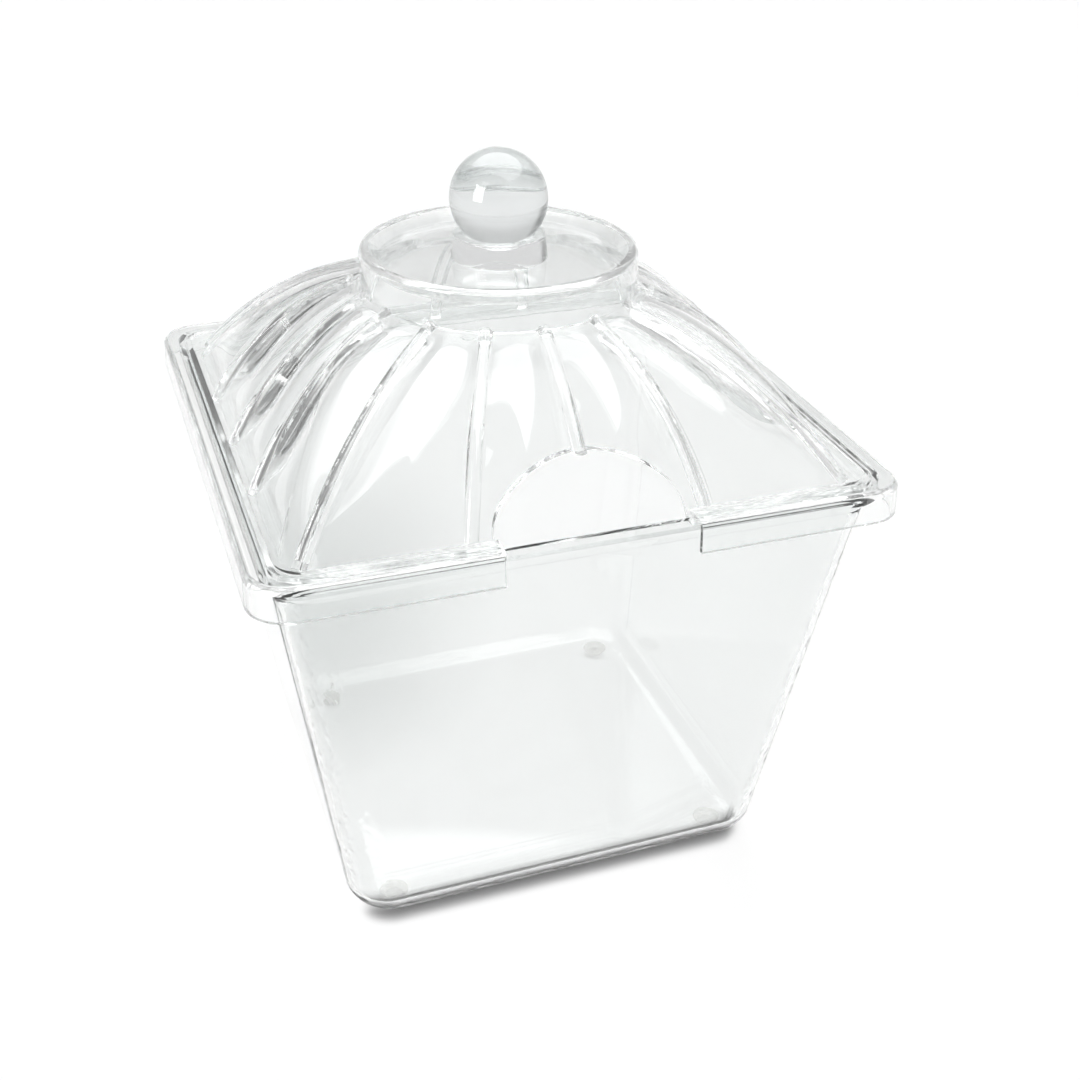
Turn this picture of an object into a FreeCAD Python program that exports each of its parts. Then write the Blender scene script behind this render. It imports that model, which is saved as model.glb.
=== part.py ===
"""Clear square storage jar with a lift-off domed lid, a scoop notch, a ball knob and four bumper feet."""

import FreeCAD
import Part
import math
import os

import Sketcher

# Driving dimensions in millimetres
SIZES = {
    "foot_height": 2.0,
    "foot_diameter": 9.5,
    "foot_tip_diameter": 6.4,
    "foot_edge": 0.5,
    "foot_spacing": 116.0,
    "jar_height": 147.85,
    "jar_base_width": 145.4,
    "jar_base_corner": 16.0,
    "jar_mouth_corner": 11.0,
    "jar_base_edge": 11.0,
    "jar_wall": 2.2,
    "jar_floor": 2.5,
    "rim_step": 1.8,
    "rim_wall": 2.0,
    "rim_band": 4.6,
    "rim_flare": 4.4,
    "seat_clearance": 0.5,
    "contact_gap": 0.05,
    "skirt_width": 200.0,
    "skirt_flare": 0.5,
    "skirt_clearance": 3.1,
    "skirt_corner": 13.0,
    "skirt_height": 10.4,
    "shoulder_edge": 2.2,
    "lid_wall": 1.6,
    "channel_depth": 3.5,
    "channel_width": 2.4,
    "dome_corner": 14.0,
    "dome_rise": 45.0,
    "dome_bulge": 0.17,
    "collar_diameter": 88.4,
    "collar_height": 12.4,
    "collar_edge": 2.0,
    "collar_lip": 1.0,
    "recess_depth": 3.8,
    "recess_diameter": 76.8,
    "rib_diameter": 4.6,
    "rib_sink": 0.6,
    "rib_foot_sink": 0.1,
    "groove_diameter": 3.4,
    "groove_sink": 1.6,
    "notch_width": 59.5,
    "notch_rise": 19.5,
    "notch_shoulder": 13.0,
    "pedestal_diameter": 30.8,
    "pedestal_top_diameter": 29.2,
    "pedestal_height": 7.4,
    "pedestal_edge": 0.6,
    "dish_depth": 4.2,
    "ball_diameter": 31.0,
    "ball_flat_depth": 0.4,
    "ball_clearance": 0.3,
}

# Heights above the surface that the jar stands on, worked out from the driving dimensions
JAR_TOP = "(Sizes.foot_height + Sizes.jar_height)"
FLANGE_TOP = f"({JAR_TOP} + Sizes.contact_gap + Sizes.lid_wall)"
SKIRT_FOOT = f"({FLANGE_TOP} - Sizes.skirt_height)"
CHANNEL_FLOOR = f"({FLANGE_TOP} - Sizes.channel_depth)"
CHANNEL_UNDERSIDE = f"({CHANNEL_FLOOR} - Sizes.lid_wall)"
DOME_TOP = f"({CHANNEL_FLOOR} + Sizes.dome_rise)"
COLLAR_TOP = f"({DOME_TOP} + Sizes.collar_height)"
RECESS_FLOOR = f"({COLLAR_TOP} - Sizes.recess_depth)"
CROWN_UNDERSIDE = f"({RECESS_FLOOR} - Sizes.lid_wall)"
SEAT_FOOT = f"({RECESS_FLOOR} + Sizes.contact_gap)"
DISH_FLOOR = f"({SEAT_FOOT} + Sizes.pedestal_height - Sizes.dish_depth)"
BALL_FOOT = f"({DISH_FLOOR} + Sizes.contact_gap)"
BALL_CENTRE = f"({BALL_FOOT} - Sizes.ball_flat_depth + Sizes.ball_diameter / 2)"

# Half widths that fitting pieces share, worked out from the skirt inwards
SKIRT_HALF = "(Sizes.skirt_width / 2)"
RIM_HALF = f"({SKIRT_HALF} - Sizes.skirt_flare - Sizes.lid_wall - Sizes.skirt_clearance)"
RIM_BORE = f"({RIM_HALF} - Sizes.rim_wall)"
PLUG = f"({RIM_BORE} - Sizes.seat_clearance)"
DOME_HALF = f"({PLUG} - Sizes.lid_wall - Sizes.channel_width)"
COLLAR_RADIUS = "(Sizes.collar_diameter / 2)"

# Share of the wall by which the dome's inner skin steps inwards, so that its true thickness is even
SKIN_INSET = 0.6
# The dome's sections, from its round top (0) to its square foot (1)
DOME_SECTIONS = (0.0, 0.3, 0.6, 0.85, 1.0)
# The round top section keeps this short straight side, so that all sections have eight edges
SHORT_SIDE = 0.5
# How far a cut runs past the solid, and how close two heights count as the same
OVERSHOOT = 2.0
NEAR = 0.01
# Directions of the ribs on one side of the dome, from its middle
RIB_ANGLES = (0.0, 22.5, 45.0, 67.5)
# Where the hollow behind a rib starts, bends and ends, as shares of the way down the dome
GROOVE_SPAN = (0.04, 0.5, 0.97)
# Directions, below the level, of the points that shape the jar's round bottom edge
BASE_EDGE_ANGLES = (90, 60, 30)

doc = FreeCAD.newDocument("StorageJar")
sheet = doc.addObject("Spreadsheet::Sheet", "Sizes")
for row, (alias, value) in enumerate(SIZES.items(), start=1):
    sheet.set(f"A{row}", alias)
    sheet.set(f"B{row}", str(value))
    sheet.setAlias(f"B{row}", alias)
doc.recompute()


def value_of(expression):
    """The number that an expression on the sheet gives, used to start a sketch near its final form."""
    result = sheet.evalExpression(expression)
    return float(getattr(result, "Value", result))


def new_body(name):
    body = doc.addObject("PartDesign::Body", name)
    body.Label = name
    return body


def origin_feature(body, role):
    return next(item for item in body.Origin.OriginFeatures if item.Role == role)


def new_sketch(body, name, plane="XY_Plane", height=None, turn=0.0):
    """An empty sketch on one of the body's origin planes, raised to a height or turned about the vertical."""
    sketch = body.newObject("Sketcher::SketchObject", name)
    sketch.AttachmentSupport = [(origin_feature(body, plane), "")]
    sketch.MapMode = "FlatFace"
    if turn:
        rotation = FreeCAD.Rotation(FreeCAD.Vector(0, 1, 0), turn)
        sketch.AttachmentOffset = FreeCAD.Placement(FreeCAD.Vector(), rotation)
    if height:
        sketch.setExpression("AttachmentOffset.Base.z", height)
    return sketch


def bind(sketch, kind, points, name, expression):
    """Adds one dimension to the sketch and ties it to the sheet."""
    index = sketch.addConstraint(Sketcher.Constraint(kind, *points, value_of(expression)))
    sketch.renameConstraint(index, name)
    sketch.setExpression(f"Constraints.{name}", expression)


def bind_point(sketch, geometry, point, name, across, up):
    """Ties a point's distances from the sketch's origin; a leading minus puts it on the other side."""
    for kind, label, expression in (("DistanceX", "across", across), ("DistanceY", "up", up)):
        negative = expression.startswith("-")
        ends = (geometry, point, -1, 1) if negative else (-1, 1, geometry, point)
        bind(sketch, kind, ends, f"{name}_{label}", expression.lstrip("-"))


def rounded_square(body, name, half, radius, height):
    """A square of the given half width with round corners, level at a height."""
    sketch = new_sketch(body, name, height=height)
    half_value = value_of(half)
    radius_value = value_of(radius)
    reach = half_value - radius_value
    up = FreeCAD.Vector(0, 0, 1)
    for quarter in range(4):
        turn = FreeCAD.Rotation(up, 90 * quarter)
        circle = Part.Circle(turn.multVec(FreeCAD.Vector(reach, reach, 0)), up, radius_value)
        start = math.pi / 2 * quarter
        sketch.addGeometry(Part.ArcOfCircle(circle, start, start + math.pi / 2))
    for quarter in range(4):
        turn = FreeCAD.Rotation(up, 90 * quarter)
        first = turn.multVec(FreeCAD.Vector(reach, half_value, 0))
        last = turn.multVec(FreeCAD.Vector(-reach, half_value, 0))
        sketch.addGeometry(Part.LineSegment(first, last))
    for quarter in range(4):
        side = 4 + quarter
        following = (quarter + 1) % 4
        sketch.addConstraint(Sketcher.Constraint("Tangent", quarter, 2, side, 1))
        sketch.addConstraint(Sketcher.Constraint("Tangent", side, 2, following, 1))
        across = "-" if quarter in (1, 2) else ""
        away = "-" if quarter in (2, 3) else ""
        centre = f"({half} - {radius})"
        bind(sketch, "Radius", (quarter,), f"corner_{quarter}", radius)
        bind_point(sketch, quarter, 3, f"centre_{quarter}", across + centre, away + centre)
    return sketch


def loft(body, name, sketches, cut=False, ruled=False):
    kind = "PartDesign::SubtractiveLoft" if cut else "PartDesign::AdditiveLoft"
    feature = body.newObject(kind, name)
    feature.Profile = sketches[0]
    feature.Sections = sketches[1:]
    feature.Ruled = ruled
    doc.recompute()
    return feature


def pad(body, name, sketch, length):
    feature = body.newObject("PartDesign::Pad", name)
    feature.Profile = sketch
    feature.setExpression("Length", length)
    doc.recompute()
    return feature


def pocket(body, name, sketch, length, upwards=False):
    feature = body.newObject("PartDesign::Pocket", name)
    feature.Profile = sketch
    feature.Reversed = upwards
    feature.setExpression("Length", length)
    doc.recompute()
    return feature


def fillet(body, name, base, edges, radius):
    feature = body.newObject("PartDesign::Fillet", name)
    feature.Base = (base, edges)
    feature.setExpression("Radius", radius)
    doc.recompute()
    return feature


def level_edges(feature, height):
    """Names of the feature's edges that lie level at a height."""
    boxes = [edge.BoundBox for edge in feature.Shape.Edges]
    return [
        f"Edge{number}"
        for number, box in enumerate(boxes, start=1)
        if box.ZLength < NEAR and abs(box.ZMin - height) < NEAR
    ]


def circle_sketch(body, name, radius, height):
    sketch = new_sketch(body, name, height=height)
    sketch.addGeometry(Part.Circle(FreeCAD.Vector(), FreeCAD.Vector(0, 0, 1), value_of(radius)))
    sketch.addConstraint(Sketcher.Constraint("Coincident", 0, 3, -1, 1))
    bind(sketch, "Radius", (0,), "radius", radius)
    return sketch


def profile_sketch(body, name, corners, plane="XZ_Plane"):
    """A closed outline of straight lines; each corner is a pair of expressions, across and up."""
    sketch = new_sketch(body, name, plane)
    points = [FreeCAD.Vector(value_of(across), value_of(up), 0) for across, up in corners]
    count = len(points)
    for index, point in enumerate(points):
        sketch.addGeometry(Part.LineSegment(point, points[(index + 1) % count]))
    for index, (across, up) in enumerate(corners):
        sketch.addConstraint(Sketcher.Constraint("Coincident", index, 2, (index + 1) % count, 1))
        bind_point(sketch, index, 1, f"corner_{index}", across, up)
    return sketch


def revolve(body, name, sketch, cut=False):
    feature = body.newObject("PartDesign::Groove" if cut else "PartDesign::Revolution", name)
    feature.Profile = sketch
    feature.ReferenceAxis = (sketch, ["V_Axis"])
    feature.Angle = 360
    doc.recompute()
    return feature


# The jar: a tapered square tub with a flared rim whose bore centres the lid
BASE_HALF = "(Sizes.jar_base_width / 2)"
MOUTH_HALF = f"({RIM_HALF} - Sizes.rim_step)"
LEAN = f"(({MOUTH_HALF} - {BASE_HALF}) / Sizes.jar_height)"
STRETCH = f"sqrt(1 + {LEAN} ^ 2)"


def wall_half(height):
    """Half width of the tapered wall's outside at a height."""
    return f"({BASE_HALF} + {LEAN} * ({height} - Sizes.foot_height))"


def wall_corner(height):
    share = f"(({height} - Sizes.foot_height) / Sizes.jar_height)"
    return f"(Sizes.jar_base_corner + {share} * (Sizes.jar_mouth_corner - Sizes.jar_base_corner))"


def tub(body, name, floor, edge, inset, cut):
    """A tapered square solid with a round bottom edge that runs tangent into its leaning walls."""
    centre = f"({floor} + {edge})"
    inner_half = f"({wall_half(centre)} - {inset} - {edge} * {STRETCH})"
    stations = [
        (
            f"({inner_half} + {math.cos(math.radians(angle)):.6f} * {edge})",
            f"({centre} - {math.sin(math.radians(angle)):.6f} * {edge})",
        )
        for angle in BASE_EDGE_ANGLES
    ]
    tangent = f"({centre} - {edge} * {LEAN} / {STRETCH})"
    stations.append((f"({wall_half(tangent)} - {inset})", tangent))
    sections = []
    for number, (half, height) in enumerate(stations):
        corner = f"({wall_corner(tangent)} - {inset} - ({stations[-1][0]} - {half}))"
        sections.append(rounded_square(body, f"{name}Edge{number}", half, corner, height))
    loft(body, f"{name}Bottom", sections, cut)
    wall_foot = rounded_square(
        body, f"{name}WallFoot", stations[-1][0], f"({wall_corner(tangent)} - {inset})", tangent
    )
    wall_top = rounded_square(
        body, f"{name}WallTop", f"({MOUTH_HALF} - {inset})", f"(Sizes.jar_mouth_corner - {inset})", JAR_TOP
    )
    loft(body, f"{name}Wall", [wall_foot, wall_top], cut)


def make_jar():
    body = new_body("bin")
    tub(body, "Outer", "Sizes.foot_height", "Sizes.jar_base_edge", "0", cut=False)
    band_foot = f"({JAR_TOP} - Sizes.rim_band)"
    flare_foot = f"({band_foot} - Sizes.rim_flare)"
    flare_half = f"({wall_half(flare_foot)} - Sizes.jar_wall / 4)"
    flare_start = rounded_square(body, "FlareFoot", flare_half, wall_corner(flare_foot), flare_foot)
    flare_end = rounded_square(body, "FlareTop", RIM_HALF, "Sizes.jar_mouth_corner", band_foot)
    loft(body, "Flare", [flare_start, flare_end])
    band = rounded_square(body, "BandOutline", RIM_HALF, "Sizes.jar_mouth_corner", band_foot)
    pad(body, "Band", band, "Sizes.rim_band")
    inner_floor = "(Sizes.foot_height + Sizes.jar_floor)"
    tub(body, "Inner", inner_floor, "(Sizes.jar_base_edge - Sizes.jar_wall)", "Sizes.jar_wall", cut=True)
    bore = rounded_square(body, "LidBore", RIM_BORE, "(Sizes.jar_mouth_corner - Sizes.rim_wall)", JAR_TOP)
    pocket(body, "LidSeat", bore, "(Sizes.channel_depth + 2 * Sizes.seat_clearance)")
    return body


def dome_half(fraction):
    return f"({COLLAR_RADIUS} + {fraction} * ({DOME_HALF} - {COLLAR_RADIUS}))"


def dome_radius(fraction):
    return f"({COLLAR_RADIUS} + {fraction} * (Sizes.dome_corner - {COLLAR_RADIUS}))"


def dome_height(fraction):
    """The dome falls from its collar to its foot along a bulging line."""
    rest = 1.0 - fraction
    return f"({CHANNEL_FLOOR} + Sizes.dome_rise * ({rest} + 4 * Sizes.dome_bulge * {fraction * rest}))"


def dome_skin(body, name, inset, drop):
    """The sections of one skin of the square-to-round dome, from its top to its foot."""
    sections = []
    for fraction in DOME_SECTIONS:
        half = f"({dome_half(fraction)} - {inset})"
        radius = f"({dome_radius(fraction)} - {inset})"
        if fraction == 0.0:
            radius = f"({half} - {SHORT_SIDE})"
        height = f"({dome_height(fraction)} - {drop})"
        sections.append(rounded_square(body, f"{name}{int(100 * fraction)}", half, radius, height))
    return sections


def rib_reach(angle, fraction):
    """How far the dome's outside lies from the axis, in one direction and at one of its sections."""
    from_side = min(angle, 90.0 - angle)
    if fraction == 0.0:
        return COLLAR_RADIUS
    if from_side < 45.0:
        return f"({dome_half(fraction)} / {math.cos(math.radians(from_side)):.6f})"
    diagonal = math.sqrt(2.0)
    return f"({diagonal} * {dome_half(fraction)} - {diagonal - 1.0} * {dome_radius(fraction)})"


def rib_station(angle, fraction, sink, foot_sink=None):
    """A point of a rib's centre line, sunk below the dome's outside."""
    down = foot_sink or sink
    return f"({rib_reach(angle, fraction)} - {SKIN_INSET} * {sink})", f"({dome_height(fraction)} - {down})"


def sweep_round(body, name, angle, stations, diameter, cut):
    """A round bar along an arc through three stations, top first, and its copies on the other three sides."""
    path = new_sketch(body, f"{name}Path", "XZ_Plane", turn=angle)
    top, middle, foot = (FreeCAD.Vector(value_of(across), value_of(up), 0) for across, up in stations)
    path.addGeometry(Part.Arc(foot, middle, top))
    path.addGeometry(Part.Point(middle), True)
    path.addConstraint(Sketcher.Constraint("PointOnObject", 1, 1, 0))
    bind_point(path, 0, 1, "foot", *stations[2])
    bind_point(path, 0, 2, "top", *stations[0])
    bind_point(path, 1, 1, "middle", *stations[1])
    doc.recompute()

    section = body.newObject("Sketcher::SketchObject", f"{name}Section")
    section.AttachmentSupport = [(path, "Vertex1"), (path, "Edge1")]
    section.MapMode = "NormalToEdge"
    section.addGeometry(Part.Circle(FreeCAD.Vector(), FreeCAD.Vector(0, 0, 1), value_of(diameter) / 2))
    section.addConstraint(Sketcher.Constraint("Coincident", 0, 3, -1, 1))
    bind(section, "Radius", (0,), "radius", f"({diameter} / 2)")
    doc.recompute()

    kind = "PartDesign::SubtractivePipe" if cut else "PartDesign::AdditivePipe"
    bar = body.newObject(kind, name)
    bar.Profile = section
    bar.Spine = (path, ["Edge1"])
    doc.recompute()
    pattern = body.newObject("PartDesign::PolarPattern", f"{name}Set")
    pattern.Originals = [bar]
    pattern.Axis = (origin_feature(body, "Z_Axis"), [""])
    pattern.Angle = 360
    pattern.Occurrences = 4
    body.Tip = pattern
    doc.recompute()


def add_ribs(body, angle):
    top = (f"({COLLAR_RADIUS} - Sizes.lid_wall / 2)", f"({DOME_TOP} - Sizes.rib_sink)")
    middle = rib_station(angle, 0.5, "Sizes.rib_sink")
    foot = rib_station(angle, 1.0, "Sizes.rib_sink", "Sizes.rib_foot_sink")
    sweep_round(body, f"Rib{int(angle)}", angle, (top, middle, foot), "Sizes.rib_diameter", cut=False)


def add_grooves(body, angle):
    """The hollows behind the ribs, which keep the moulded wall even."""
    stations = [rib_station(angle, fraction, "Sizes.groove_sink") for fraction in GROOVE_SPAN]
    sweep_round(body, f"Groove{int(angle)}", angle, stations, "Sizes.groove_diameter", cut=True)


def notch_sketch(body):
    """The scoop notch: upright sides, round shoulders and a flatter crown, seen from the front."""
    sketch = new_sketch(body, "NotchOutline", "XZ_Plane")
    half = "(Sizes.notch_width / 2)"
    shoulder = "Sizes.notch_shoulder"
    crown = (
        f"((({half} - {shoulder}) ^ 2 + Sizes.notch_rise ^ 2 - {shoulder} ^ 2)"
        f" / (2 * (Sizes.notch_rise - {shoulder})))"
    )
    half_value, shoulder_value, crown_value = value_of(half), value_of(shoulder), value_of(crown)
    spring = value_of(CHANNEL_FLOOR)
    below = f"({SKIRT_FOOT} - {OVERSHOOT})"
    foot = value_of(below)
    up = FreeCAD.Vector(0, 0, 1)
    reach = half_value - shoulder_value
    crown_centre = spring + value_of("Sizes.notch_rise") - crown_value
    lean = math.atan2(spring - crown_centre, reach)
    circle = {
        "right": Part.Circle(FreeCAD.Vector(reach, spring, 0), up, shoulder_value),
        "crown": Part.Circle(FreeCAD.Vector(0, crown_centre, 0), up, crown_value),
        "left": Part.Circle(FreeCAD.Vector(-reach, spring, 0), up, shoulder_value),
    }
    sketch.addGeometry(Part.ArcOfCircle(circle["right"], 0, lean))
    sketch.addGeometry(Part.ArcOfCircle(circle["crown"], lean, math.pi - lean))
    sketch.addGeometry(Part.ArcOfCircle(circle["left"], math.pi - lean, math.pi))
    corners = [(-half_value, spring), (-half_value, foot), (half_value, foot), (half_value, spring)]
    for first, last in zip(corners, corners[1:]):
        sketch.addGeometry(Part.LineSegment(FreeCAD.Vector(*first, 0), FreeCAD.Vector(*last, 0)))
    for first, last in ((0, 1), (1, 2), (2, 3), (5, 0)):
        sketch.addConstraint(Sketcher.Constraint("Tangent", first, 2, last, 1))
    for first, last in ((3, 4), (4, 5)):
        sketch.addConstraint(Sketcher.Constraint("Coincident", first, 2, last, 1))
    sketch.addConstraint(Sketcher.Constraint("Horizontal", 4))
    sketch.addConstraint(Sketcher.Constraint("Vertical", 3))
    sketch.addConstraint(Sketcher.Constraint("Vertical", 5))
    bind(sketch, "Radius", (0,), "shoulder_right", shoulder)
    bind(sketch, "Radius", (2,), "shoulder_left", shoulder)
    bind(sketch, "Radius", (1,), "crown", crown)
    bind_point(sketch, 0, 3, "right", f"({half} - {shoulder})", CHANNEL_FLOOR)
    bind_point(sketch, 2, 3, "left", f"-({half} - {shoulder})", CHANNEL_FLOOR)
    bind(sketch, "DistanceY", (-1, 1, 4, 1), "below", below)
    return sketch


# The lid: skirt, flange, locating channel, ribbed square-to-round dome, collar with a recess, scoop notch
def make_lid():
    body = new_body("lid")
    draft = "atan(Sizes.skirt_flare / Sizes.skirt_height)"
    skirt = rounded_square(body, "SkirtOutline", SKIRT_HALF, "Sizes.skirt_corner", SKIRT_FOOT)
    block = pad(body, "SkirtBlock", skirt, "Sizes.skirt_height")
    block.setExpression("TaperAngle", f"-{draft}")
    doc.recompute()
    fillet(body, "Shoulder", block, level_edges(block, value_of(FLANGE_TOP)), "Sizes.shoulder_edge")
    inside_half = f"({SKIRT_HALF} - Sizes.lid_wall)"
    inside_corner = "(Sizes.skirt_corner - Sizes.lid_wall)"
    inside = rounded_square(body, "SkirtInsideOutline", inside_half, inside_corner, SKIRT_FOOT)
    hollow = pocket(body, "SkirtInside", inside, "(Sizes.skirt_height - Sizes.lid_wall)", upwards=True)
    hollow.setExpression("TaperAngle", f"-{draft}")
    doc.recompute()

    plug_corner = "(Sizes.jar_mouth_corner - Sizes.rim_wall - Sizes.seat_clearance)"
    plug = rounded_square(body, "PlugOutline", PLUG, plug_corner, CHANNEL_UNDERSIDE)
    pad(body, "Plug", plug, "(Sizes.channel_depth + Sizes.lid_wall)")
    channel_half = f"({PLUG} - Sizes.lid_wall)"
    channel_corner = f"({plug_corner} - Sizes.lid_wall / 2)"
    channel = rounded_square(body, "ChannelOutline", channel_half, channel_corner, FLANGE_TOP)
    pocket(body, "Channel", channel, "Sizes.channel_depth")

    loft(body, "Dome", dome_skin(body, "Outer", "0", "0"))
    collar = circle_sketch(body, "CollarOutline", COLLAR_RADIUS, f"({DOME_TOP} - Sizes.lid_wall)")
    raised = pad(body, "Collar", collar, "(Sizes.collar_height + Sizes.lid_wall)")
    fillet(body, "CollarEdge", raised, level_edges(raised, value_of(COLLAR_TOP)), "Sizes.collar_edge")
    recess_radius = "(Sizes.recess_diameter / 2)"
    lip = f"({COLLAR_RADIUS} - Sizes.collar_edge - Sizes.collar_lip)"
    recess = profile_sketch(
        body,
        "RecessProfile",
        [
            ("0", RECESS_FLOOR),
            (recess_radius, RECESS_FLOOR),
            (lip, COLLAR_TOP),
            (lip, f"({COLLAR_TOP} + {OVERSHOOT})"),
            ("0", f"({COLLAR_TOP} + {OVERSHOOT})"),
        ],
    )
    revolve(body, "Recess", recess, cut=True)
    for angle in RIB_ANGLES:
        add_ribs(body, angle)

    inset = f"({SKIN_INSET} * Sizes.lid_wall)"
    skin = dome_skin(body, "Inner", inset, "Sizes.lid_wall")
    loft(body, "DomeInside", skin, cut=True)
    mouth_half = f"({DOME_HALF} - {inset})"
    mouth_corner = f"(Sizes.dome_corner - {inset})"
    mouth_foot = f"({CHANNEL_UNDERSIDE} - {OVERSHOOT})"
    mouth = rounded_square(body, "DomeMouthOutline", mouth_half, mouth_corner, mouth_foot)
    pocket(body, "DomeMouth", mouth, f"{OVERSHOOT}", upwards=True)
    for angle in RIB_ANGLES:
        add_grooves(body, angle)
    bore = f"({COLLAR_RADIUS} - Sizes.lid_wall)"
    below = f"({DOME_TOP} - 2 * Sizes.lid_wall)"
    inside = profile_sketch(
        body,
        "CollarBore",
        [
            ("0", CROWN_UNDERSIDE),
            (f"({recess_radius} + Sizes.lid_wall)", CROWN_UNDERSIDE),
            (bore, f"({COLLAR_TOP} - Sizes.collar_edge)"),
            (bore, below),
            ("0", below),
        ],
    )
    revolve(body, "CollarInside", inside, cut=True)
    pocket(body, "Notch", notch_sketch(body), f"({SKIRT_HALF} + {OVERSHOOT})", upwards=True)
    return body


# The knob's seat: a short drafted cylinder with a round dish for the ball
def make_pedestal():
    body = new_body("knob_seat")
    foot_radius = "(Sizes.pedestal_diameter / 2)"
    top_radius = "(Sizes.pedestal_top_diameter / 2)"
    top = f"({SEAT_FOOT} + Sizes.pedestal_height)"
    outline = profile_sketch(
        body,
        "Outline",
        [("0", SEAT_FOOT), (foot_radius, SEAT_FOOT), (top_radius, top), ("0", top)],
    )
    solid = revolve(body, "Cylinder", outline)
    fillet(body, "TopEdge", solid, level_edges(solid, value_of(top)), "Sizes.pedestal_edge")
    dish = ball_sketch(body, "DishProfile", DISH_FLOOR, "Sizes.ball_clearance")
    revolve(body, "Dish", dish, cut=True)
    return body


def ball_sketch(body, name, flat_height, clearance):
    """Half of the ball's outline with its bonded flat, grown by a clearance on the round part only."""
    sketch = new_sketch(body, name, "XZ_Plane")
    radius = f"(Sizes.ball_diameter / 2 + {clearance})"
    radius_value, centre = value_of(radius), value_of(BALL_CENTRE)
    floor = value_of(flat_height)
    flat = math.sqrt(radius_value**2 - (centre - floor) ** 2)
    lean = math.atan2(floor - centre, flat)
    circle = Part.Circle(FreeCAD.Vector(0, centre, 0), FreeCAD.Vector(0, 0, 1), radius_value)
    sketch.addGeometry(Part.ArcOfCircle(circle, lean, math.pi / 2))
    pole = FreeCAD.Vector(0, centre + radius_value, 0)
    foot = FreeCAD.Vector(0, floor, 0)
    sketch.addGeometry(Part.LineSegment(pole, foot))
    sketch.addGeometry(Part.LineSegment(foot, FreeCAD.Vector(flat, floor, 0)))
    sketch.addConstraint(Sketcher.Constraint("Coincident", 0, 2, 1, 1))
    sketch.addConstraint(Sketcher.Constraint("Coincident", 1, 2, 2, 1))
    sketch.addConstraint(Sketcher.Constraint("Coincident", 2, 2, 0, 1))
    sketch.addConstraint(Sketcher.Constraint("PointOnObject", 1, 1, -2))
    sketch.addConstraint(Sketcher.Constraint("PointOnObject", 1, 2, -2))
    sketch.addConstraint(Sketcher.Constraint("PointOnObject", 0, 3, -2))
    sketch.addConstraint(Sketcher.Constraint("Horizontal", 2))
    bind(sketch, "Radius", (0,), "radius", radius)
    bind(sketch, "DistanceY", (-1, 1, 0, 3), "centre", BALL_CENTRE)
    bind(sketch, "DistanceY", (-1, 1, 1, 2), "floor", flat_height)
    return sketch


# The knob's ball, bonded by its small flat to the floor of the dish
def make_ball():
    body = new_body("knob_ball")
    revolve(body, "Ball", ball_sketch(body, "Profile", BALL_FOOT, "0"))
    return body


# One bumper foot: a drafted disc under the jar's floor
def make_foot(name, side, depth):
    body = new_body(name)
    top_radius = "(Sizes.foot_diameter / 2)"
    tip_radius = "(Sizes.foot_tip_diameter / 2)"
    top = "(Sizes.foot_height - Sizes.contact_gap)"
    outline = profile_sketch(
        body,
        "Outline",
        [("0", "0"), (tip_radius, "0"), (top_radius, top), ("0", top)],
    )
    disc = revolve(body, "Disc", outline)
    fillet(body, "TipEdge", disc, level_edges(disc, 0.0), "Sizes.foot_edge")
    body.setExpression("Placement.Base.x", f"{side} * Sizes.foot_spacing / 2")
    body.setExpression("Placement.Base.y", f"{depth} * Sizes.foot_spacing / 2")
    return body


FEET = {
    "foot_front_left": (-1, -1),
    "foot_front_right": (1, -1),
    "foot_back_left": (-1, 1),
    "foot_back_right": (1, 1),
}

pieces = [make_jar(), make_lid(), make_pedestal(), make_ball()]
pieces += [make_foot(name, side, depth) for name, (side, depth) in FEET.items()]
doc.recompute()

failed = [item.Name for item in doc.Objects if {"Invalid", "Error"} & set(item.State)]
if failed:
    raise RuntimeError(f"these did not compute: {failed}")
for piece in pieces:
    if piece.Shape.isNull() or not piece.Shape.isValid() or len(piece.Shape.Solids) != 1:
        raise RuntimeError(f"{piece.Label} is not one valid solid")

os.makedirs("parts", exist_ok=True)
for piece in pieces:
    piece.Shape.exportStep(f"parts/{piece.Label}.step")
    box = piece.Shape.BoundBox
    print(f"{piece.Label}: {piece.Shape.Volume / 1000:.2f} cm3, z {box.ZMin:.2f} to {box.ZMax:.2f}")
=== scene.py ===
"""Looks of a clear acrylic storage jar: clear plastic, a pale floor, soft studio light and the camera."""

import math

import bpy
from mathutils import Matrix, Vector

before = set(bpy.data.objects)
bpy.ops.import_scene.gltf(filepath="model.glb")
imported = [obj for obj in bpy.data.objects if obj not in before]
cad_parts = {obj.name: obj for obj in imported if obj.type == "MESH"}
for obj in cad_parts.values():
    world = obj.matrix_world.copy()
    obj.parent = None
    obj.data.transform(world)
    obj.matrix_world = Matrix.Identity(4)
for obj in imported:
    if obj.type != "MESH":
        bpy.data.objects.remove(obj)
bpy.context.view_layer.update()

# Heights and half widths of the jar that its finishes follow, in metres
DOME_FOOT = 0.150
DOME_CREST = 0.168
COLLAR_RADIUS = 0.0442
BASE_FRONT = 0.060
RIBS = 16


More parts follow.
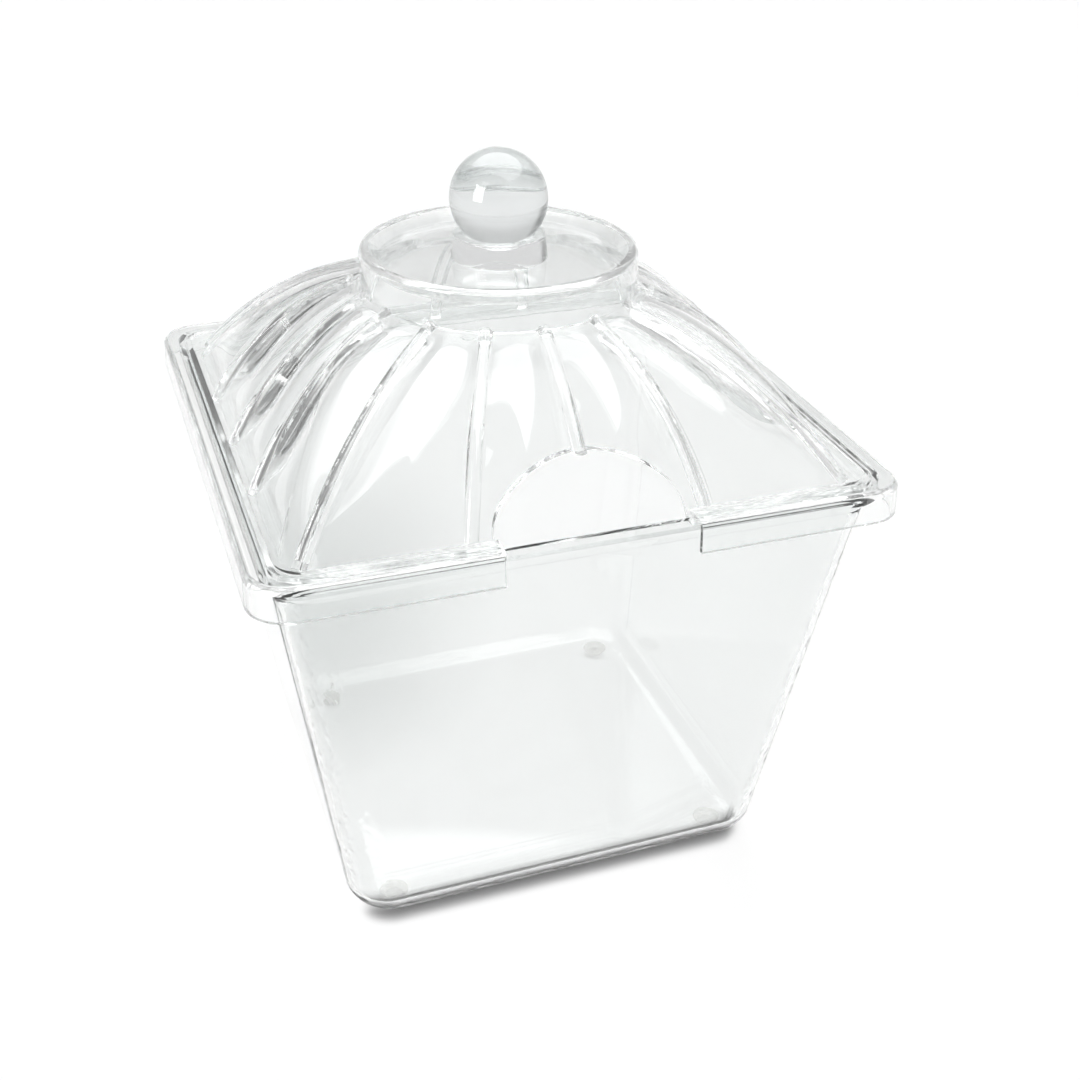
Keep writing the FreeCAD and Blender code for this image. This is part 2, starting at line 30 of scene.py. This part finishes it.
class Graph:
    """A small helper that adds nodes to one material or world and joins them up."""

    def __init__(self, owner):
        owner.use_nodes = True
        self.tree = owner.node_tree
        self.tree.nodes.clear()

    def add(self, kind, inputs=None, **settings):
        node = self.tree.nodes.new(kind)
        for name, value in settings.items():
            setattr(node, name, value)
        for name, value in (inputs or {}).items():
            if isinstance(value, bpy.types.NodeSocket):
                self.tree.links.new(value, node.inputs[name])
            else:
                node.inputs[name].default_value = value
        return node

    def math(self, operation, first, second=0.0):
        node = self.add("ShaderNodeMath", {0: first, 1: second}, operation=operation)
        return node.outputs["Value"]

    def ramp(self, value, start, end, low, high, smooth=True):
        """Goes from low to high while the value goes from start to end."""
        kind = "SMOOTHSTEP" if smooth else "LINEAR"
        inputs = {"Value": value, "From Min": start, "From Max": end, "To Min": low, "To Max": high}
        return self.add("ShaderNodeMapRange", inputs, interpolation_type=kind).outputs["Result"]

    def mix_color(self, factor, first, second):
        inputs = {"Factor": factor}
        node = self.add("ShaderNodeMix", inputs, data_type="RGBA")
        for name, value in (("A", first), ("B", second)):
            socket = next(item for item in node.inputs if item.name == name and item.type == "RGBA")
            if isinstance(value, bpy.types.NodeSocket):
                self.tree.links.new(value, socket)
            else:
                socket.default_value = (*value, 1.0)
        return next(item for item in node.outputs if item.type == "RGBA")

    def position(self):
        place = self.add("ShaderNodeTexCoord")
        axes = self.add("ShaderNodeSeparateXYZ", {"Vector": place.outputs["Object"]})
        return place.outputs["Object"], axes.outputs["X"], axes.outputs["Y"], axes.outputs["Z"]


def swollen_normal(graph, x, y, z, rise):
    """The surface's direction where each dome panel swells softly between two ribs, by rise metres at its middle."""
    square = graph.math("ADD", graph.math("MULTIPLY", x, x), graph.math("MULTIPLY", y, y))
    radius = graph.math("MAXIMUM", graph.math("SQRT", square), COLLAR_RADIUS / 2)
    turn = graph.math("MULTIPLY", graph.math("ARCTAN2", y, x), RIBS / 2)
    lobe = graph.math("SINE", turn)
    wave = graph.math("MULTIPLY", graph.math("COSINE", turn), graph.math("SIGN", lobe))
    clear_of_rib = graph.ramp(graph.math("ABSOLUTE", lobe), 0.10, 0.20, 0.0, 1.0)
    wave = graph.math("MULTIPLY", wave, clear_of_rib)
    outside = graph.ramp(radius, COLLAR_RADIUS, COLLAR_RADIUS + 0.008, 0.0, 1.0)
    above = graph.ramp(z, DOME_FOOT, DOME_CREST, 0.0, 1.0)
    below = graph.ramp(z, 0.192, 0.196, 1.0, 0.0)
    mask = graph.math("MULTIPLY", outside, graph.math("MULTIPLY", above, below))
    slope = graph.math("MULTIPLY", graph.math("DIVIDE", wave, radius), rise * RIBS / 2)
    normal = graph.add("ShaderNodeNewGeometry").outputs["Normal"]
    side = graph.math("SIGN", graph.add("ShaderNodeSeparateXYZ", {"Vector": normal}).outputs["Z"])
    push = graph.math("MULTIPLY", graph.math("MULTIPLY", slope, mask), graph.math("MULTIPLY", side, -1.0))
    across = graph.add("ShaderNodeCombineXYZ", {"X": graph.math("MULTIPLY", y, -1.0), "Y": x}).outputs["Vector"]
    across = graph.add("ShaderNodeVectorMath", {0: across}, operation="NORMALIZE").outputs["Vector"]
    tilt = graph.add("ShaderNodeVectorMath", {0: across, "Scale": push}, operation="SCALE").outputs["Vector"]
    tilted = graph.add("ShaderNodeVectorMath", {0: normal, 1: tilt}, operation="ADD").outputs["Vector"]
    return graph.add("ShaderNodeVectorMath", {0: tilted}, operation="NORMALIZE").outputs["Vector"]


def clear_plastic(name, face, edge, falloff=3.0, swell=0.0, base_shade=False, lamp_share=0.998, ior=1.49):
    """Clear plastic that bends light, greyer where it is seen edge on, and that lets the lamps through."""
    material = bpy.data.materials.new(name)
    graph = Graph(material)
    point, x, y, z = graph.position()

    # Faint handling marks, which dull the gloss by a hair in places
    marks = graph.add("ShaderNodeTexNoise", {"Vector": point, "Scale": 30.0, "Detail": 3.0})
    dull = graph.ramp(marks.outputs["Fac"], 0.55, 0.8, 0.0, 0.006)

    facing = graph.add("ShaderNodeLayerWeight", {"Blend": 0.5}).outputs["Facing"]
    thickness = graph.math("POWER", facing, falloff)
    color = graph.mix_color(thickness, face, edge)
    share = graph.ramp(facing, 0.5, 0.95, lamp_share, 0.94)
    if base_shade:
        # Painted shade: a soft grey darkening low in the back left corner, and the round bottom edge at the front
        # painted near black as a contact shade; that front edge also stops the lamps, so it casts a real contact shadow
        painted_shade_spot = (-0.060, 0.075, 0.035)
        painted_shade_distance = graph.add("ShaderNodeVectorMath", {0: point, 1: painted_shade_spot}, operation="DISTANCE").outputs["Value"]
        color = graph.mix_color(graph.ramp(painted_shade_distance, 0.01, 0.09, 1.0, 0.0), color, (0.72, 0.74, 0.735))
        outer = graph.math("MAXIMUM", graph.math("ABSOLUTE", x), graph.math("ABSOLUTE", y))
        outer = graph.ramp(outer, BASE_FRONT - 0.001, BASE_FRONT + 0.004, 0.0, 1.0)
        front = graph.ramp(graph.math("MULTIPLY", y, -1.0), 0.056, BASE_FRONT + 0.004, 0.0, 1.0)
        low = graph.ramp(z, 0.0022, 0.0046, 1.0, 0.0)
        solid = graph.math("MULTIPLY", graph.math("MULTIPLY", front, outer), low)
        # Painted shade: the lowest part of the front round edge is coloured near black
        painted_edge_shade = graph.math("MULTIPLY", graph.math("MULTIPLY", front, outer), graph.ramp(z, 0.0035, 0.0052, 1.0, 0.0))
        color = graph.mix_color(painted_edge_shade, color, (0.02, 0.02, 0.02))
        ior = graph.ramp(z, 0.139, 0.143, ior, 1.18)
        share = graph.math("MULTIPLY", share, graph.math("SUBTRACT", 1.0, solid))
    surface = {"Base Color": color, "Roughness": dull, "IOR": ior, "Transmission Weight": 1.0}
    if swell:
        # The collar's upright wall band is a little greyer
        wall = graph.math("MULTIPLY", graph.ramp(z, 0.184, 0.188, 0.0, 1.0), graph.ramp(z, 0.200, 0.203, 1.0, 0.0))
        surface["Base Color"] = graph.mix_color(wall, color, (0.88, 0.89, 0.888))
        surface["Normal"] = swollen_normal(graph, x, y, z, swell)
    plastic = graph.add("ShaderNodeBsdfPrincipled", surface)

    # Rays to the lamps pass straight through
    through = graph.add("ShaderNodeBsdfTransparent", {"Color": share})
    lamp_ray = graph.add("ShaderNodeLightPath").outputs["Is Shadow Ray"]
    mix = graph.add("ShaderNodeMixShader", {0: lamp_ray, 1: plastic.outputs["BSDF"], 2: through.outputs["BSDF"]})
    graph.add("ShaderNodeOutputMaterial", {"Surface": mix.outputs["Shader"]})
    return material


def soft_plastic(name, color, cover):
    """Soft clear bumper plastic: a thin film of colour that what lies below shows through."""
    material = bpy.data.materials.new(name)
    graph = Graph(material)
    point, x, y, z = graph.position()
    grain = graph.add("ShaderNodeTexNoise", {"Vector": point, "Scale": 900.0, "Detail": 2.0})
    bump = graph.add("ShaderNodeBump", {"Strength": 0.2, "Distance": 0.0001, "Height": grain.outputs["Fac"]})
    plastic = graph.add(
        "ShaderNodeBsdfPrincipled",
        {"Base Color": (*color, 1.0), "Roughness": 0.25, "Alpha": cover, "Normal": bump.outputs["Normal"]},
    )
    graph.add("ShaderNodeOutputMaterial", {"Surface": plastic.outputs["BSDF"]})
    return material


acrylic_bin = clear_plastic("bin_acrylic", (0.93, 0.940, 0.937), (0.90, 0.915, 0.911), base_shade=True)
acrylic_lid = clear_plastic("lid_acrylic", (0.965, 0.973, 0.970), (0.74, 0.76, 0.757), falloff=2.5, swell=0.0046)
acrylic_seat = clear_plastic("seat_acrylic", (0.95, 0.96, 0.96), (0.86, 0.88, 0.88), ior=1.3)
acrylic_ball = clear_plastic("ball_acrylic", (0.80, 0.82, 0.82), (0.28, 0.30, 0.30), falloff=2.6)
bumper = soft_plastic("clear_bumper", (0.90, 0.89, 0.85), 0.22)

FINISHES = {
    "bin": (acrylic_bin, "clear_acrylic"),
    "lid": (acrylic_lid, "clear_acrylic"),
    "knob_seat": (acrylic_seat, "clear_acrylic"),
    "knob_ball": (acrylic_ball, "solid_clear_ball"),
    "foot_front_left": (bumper, "clear_bumper"),
    "foot_front_right": (bumper, "clear_bumper"),
    "foot_back_left": (bumper, "clear_bumper"),
    "foot_back_right": (bumper, "clear_bumper"),
}
for node, (material, slot) in FINISHES.items():
    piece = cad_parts[node]
    piece.data.materials.clear()
    piece.data.materials.append(material)

# Floor: pale and matt, large enough to reach the horizon in every view
pale = bpy.data.materials.new("pale_floor")
graph = Graph(pale)
matt = graph.add("ShaderNodeBsdfDiffuse", {"Color": (0.9, 0.9, 0.9, 1.0)})
ray = graph.add("ShaderNodeLightPath").outputs
through = graph.math("MAXIMUM", ray["Is Glossy Ray"], ray["Is Transmission Ray"])
seen = graph.math("MAXIMUM", ray["Is Camera Ray"], through)
lift = graph.add("ShaderNodeEmission", {"Strength": graph.math("MULTIPLY", seen, 0.12)})
both = graph.add("ShaderNodeAddShader", {0: matt.outputs["BSDF"], 1: lift.outputs["Emission"]})
graph.add("ShaderNodeOutputMaterial", {"Surface": both.outputs["Shader"]})
half = 4.0
mesh = bpy.data.meshes.new("floor")
mesh.from_pydata([(-half, -half, 0), (half, -half, 0), (half, half, 0), (-half, half, 0)], [], [(0, 1, 2, 3)])
mesh.materials.append(pale)
floor = bpy.data.objects.new("floor", mesh)
bpy.context.scene.collection.objects.link(floor)

# World: an even dim light; gloss and bent light see a white sweep, a dim room and a wide light overhead
world = bpy.data.worlds.new("studio")
bpy.context.scene.world = world
graph = Graph(world)
direction = graph.add("ShaderNodeTexCoord").outputs["Generated"]
up = graph.add("ShaderNodeSeparateXYZ", {"Vector": direction}).outputs["Z"]
centre = Vector((-0.0436, 0.0755, 0.9962))
front_edge = Vector((0.625, 0.781, 0.0))
side = Vector((-0.8, 0.45, 0.3)).normalized()
towards = graph.add("ShaderNodeVectorMath", {0: direction, 1: centre}, operation="DOT_PRODUCT").outputs["Value"]
across = graph.add("ShaderNodeVectorMath", {0: direction, 1: front_edge}, operation="DOT_PRODUCT").outputs["Value"]
beside = graph.add("ShaderNodeVectorMath", {0: direction, 1: side}, operation="DOT_PRODUCT").outputs["Value"]
card = graph.ramp(beside, 0.75, 0.88, 1.0, 0.4)
ray = graph.add("ShaderNodeLightPath").outputs
sweep = Vector((0.45, 0.75, 0.45)).normalized()
behind = graph.add("ShaderNodeVectorMath", {0: direction, 1: sweep}, operation="DOT_PRODUCT").outputs["Value"]
panel = graph.math("MULTIPLY", graph.ramp(towards, 0.69, 0.70, 0.0, 1.0), graph.ramp(across, -0.365, -0.355, 0.0, 1.0))
mirrored = graph.math("ADD", graph.ramp(up, 0.02, 0.25, 0.9, 0.30), graph.math("MULTIPLY", panel, 2.8))
mirrored = graph.math("ADD", mirrored, graph.ramp(behind, 0.75, 0.92, 0.0, 0.3))
# A tall window at the left, which leaves its small bright shape on the ball and the dome
window = Vector((-0.875, -0.365, 0.304))
ahead = graph.add("ShaderNodeVectorMath", {0: direction, 1: window}, operation="DOT_PRODUCT").outputs["Value"]
beside_window = Vector((0.385, -0.923, 0.0))
sideways = graph.add("ShaderNodeVectorMath", {0: direction, 1: beside_window}, operation="DOT_PRODUCT").outputs["Value"]
wide = graph.ramp(graph.math("ABSOLUTE", sideways), 0.19, 0.21, 1.0, 0.0)
tall = graph.ramp(graph.math("ABSOLUTE", graph.math("SUBTRACT", up, 0.304)), 0.26, 0.28, 1.0, 0.0)
pane = graph.math("MULTIPLY", graph.math("MULTIPLY", wide, tall), graph.ramp(ahead, 0.5, 0.6, 0.0, 1.0))
bent = graph.math("ADD", graph.ramp(up, 0.02, 0.3, 0.95, 0.72), graph.math("MULTIPLY", panel, 1.8))
mirrored = graph.math("MULTIPLY", mirrored, graph.math("SUBTRACT", ray["Is Glossy Ray"], ray["Is Transmission Ray"]))
mirrored = graph.math("MAXIMUM", mirrored, 0.0)
bent = graph.math("MULTIPLY", bent, ray["Is Transmission Ray"])
shown = graph.math("SUBTRACT", ray["Is Glossy Ray"], ray["Is Transmission Ray"])
shown = graph.math("MULTIPLY", graph.math("MAXIMUM", shown, 0.0), graph.math("MULTIPLY", pane, 10.0))
sides = graph.math("ADD", graph.math("MULTIPLY", graph.math("ADD", mirrored, bent), card), shown)
seen = graph.math("ADD", sides, ray["Is Camera Ray"])
sky = graph.add("ShaderNodeBackground", {"Color": (1.0, 1.0, 1.0, 1.0), "Strength": seen})
graph.add("ShaderNodeOutputWorld", {"Surface": sky.outputs["Background"]})


def aim(item, place, target):
    item.location = place
    item.rotation_mode = "QUATERNION"
    item.rotation_quaternion = (Vector(target) - Vector(place)).to_track_quat("-Z", "Y")


def softbox(name, place, target, size, power):
    lamp = bpy.data.lights.new(name, "AREA")
    lamp.shape = "RECTANGLE"
    lamp.size, lamp.size_y = size
    lamp.energy = power
    item = bpy.data.objects.new(name, lamp)
    bpy.context.scene.collection.objects.link(item)
    aim(item, place, target)
    item.visible_camera = False
    item.visible_transmission = False
    return item


# Broad daylight from behind and above, and a small softbox that gives a window on the ball
for name, place, energy, angle in (("key", (0.45, 1.1, 1.55), 2.7, 0.4), ("fill", (0.0, 0.0, 1.0), 0.95, 2.8)):
    sun = bpy.data.lights.new(name, "SUN")
    sun.energy = energy
    sun.angle = angle
    sun.cycles.use_multiple_importance_sampling = False
    item = bpy.data.objects.new(name, sun)
    bpy.context.scene.collection.objects.link(item)
    aim(item, place, (0, 0, 0))
    item.visible_glossy = False
    item.visible_transmission = False

softbox("front_left", (-0.9, -0.55, 1.0), (0, 0, 0.15), (0.3, 0.5), 1.2)

# Camera, solved from the photograph
camera = bpy.data.cameras.new("camera")
camera.sensor_width = 36.0
camera.lens = 49.82
camera.shift_x = -0.0675
camera.shift_y = 0.00886
camera.clip_start = 0.01
camera.clip_end = 50.0
viewer = bpy.data.objects.new("camera", camera)
bpy.context.scene.collection.objects.link(viewer)
RIGHT = Vector((0.93260573, -0.3598812, 0.02705693))
UP = Vector((0.15777576, 0.47399362, 0.86627759))
BACK = Vector((-0.32458183, -0.80362651, 0.4988297))
turn = Matrix((RIGHT, UP, BACK)).transposed().to_4x4()
viewer.matrix_world = Matrix.Translation((-0.13542, -0.43952, 0.35846)) @ turn
bpy.context.scene.camera = viewer

bpy.context.scene.view_settings.view_transform = "Standard"

# Light goes through many walls of clear plastic before it leaves
cycles = bpy.context.scene.cycles
cycles.max_bounces = 64
cycles.glossy_bounces = 48
cycles.transmission_bounces = 64
cycles.transparent_max_bounces = 64
cycles.caustics_reflective = False
cycles.caustics_refractive = False
